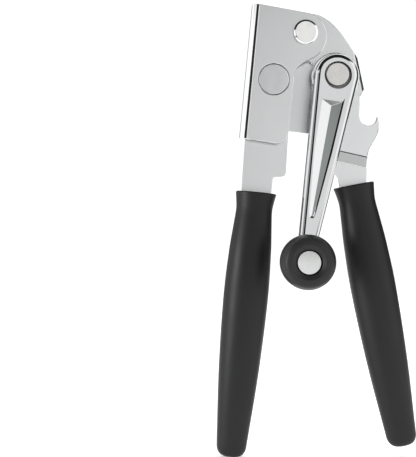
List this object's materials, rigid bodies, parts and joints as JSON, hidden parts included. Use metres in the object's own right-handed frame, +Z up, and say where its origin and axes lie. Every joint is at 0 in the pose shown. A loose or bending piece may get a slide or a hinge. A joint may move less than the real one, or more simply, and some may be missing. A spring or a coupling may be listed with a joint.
{
  "type": "manual can opener",
  "caption": "Hand crank can opener: hinged steel body with cutting and feed wheels, bottle opener hook, long chrome crank with round knob, black oval grips.",
  "frame": {"origin": "under the middle of the opener's box, level with the lower end of the left grip", "axes": "+Z up along the handles towards the pivot, the crank and knob face -Y, the wheels face +Y, +X towards the bottle opener"},
  "size_m": [0.1084, 0.0504, 0.2446],
  "materials": {
    "stamped_steel": "nickel plated, satin",
    "polished_chrome": "polished",
    "plated_rivet": "plated, satin",
    "plated_hardware": "bright zinc plated",
    "gear_steel": "stamped and tumbled",
    "hardened_steel": "ground",
    "sintered_bronze": "oiled",
    "soft_touch_black": "soft touch, matte",
    "knob_black": "satin",
    "bearing_nylon": "natural",
    "turned_aluminium": "turned"
  },
  "bodies": {
    "left_handle": {"left_body": "stamped_steel", "left_grip": "soft_touch_black", "pivot_rivet": "plated_rivet", "pivot_washer": "plated_hardware", "cutter_stud": "plated_rivet", "cutter_sleeve": "sintered_bronze", "cutter_washer": "plated_hardware", "cutter_nut": "plated_hardware"},
    "cutter": {"cutter_rivets": "plated_rivet", "cutter_gear": "gear_steel", "cutter_spacer": "gear_steel", "cutter_wheel": "hardened_steel"},
    "right_handle": {"right_plate": "stamped_steel", "right_grip": "soft_touch_black", "shaft_bushing": "plated_hardware"},
    "crank": {"crank_shaft": "plated_rivet", "crank_arm": "polished_chrome", "crank_washer": "plated_hardware", "feed_gear": "gear_steel", "feed_spacer": "gear_steel", "feed_wheel": "gear_steel", "feed_washer": "plated_hardware", "feed_nut": "plated_hardware", "knob_pin": "plated_rivet", "knob_washer": "plated_hardware"},
    "knob": {"knob": "knob_black", "knob_sleeve": "bearing_nylon", "knob_cap": "turned_aluminium"}
  },
  "joints": [
    {"name": "handle_pivot", "type": "hinge", "parent": "left_handle", "child": "right_handle", "pos_m": [-0.00637, 0.00781, 0.22901], "axis": [0, 1, 0], "range_deg": [-12, 18]},
    {"name": "crank_spin", "type": "hinge", "parent": "right_handle", "child": "crank", "pos_m": [0.00913, 0.00781, 0.20461], "axis": [0, 1, 0], "continuous": true},
    {"name": "cutter_spin", "type": "hinge", "parent": "left_handle", "child": "cutter", "pos_m": [-0.02337, 0.00781, 0.20391], "axis": [0, 1, 0], "continuous": true},
    {"name": "knob_spin", "type": "hinge", "parent": "crank", "child": "knob", "pos_m": [-0.00802, 0.00781, 0.10671], "axis": [0, 1, 0], "continuous": true}
  ],
  "couplings": [
    {"joint": "cutter_spin", "follows": "crank_spin", "ratio": -1}
  ]
}
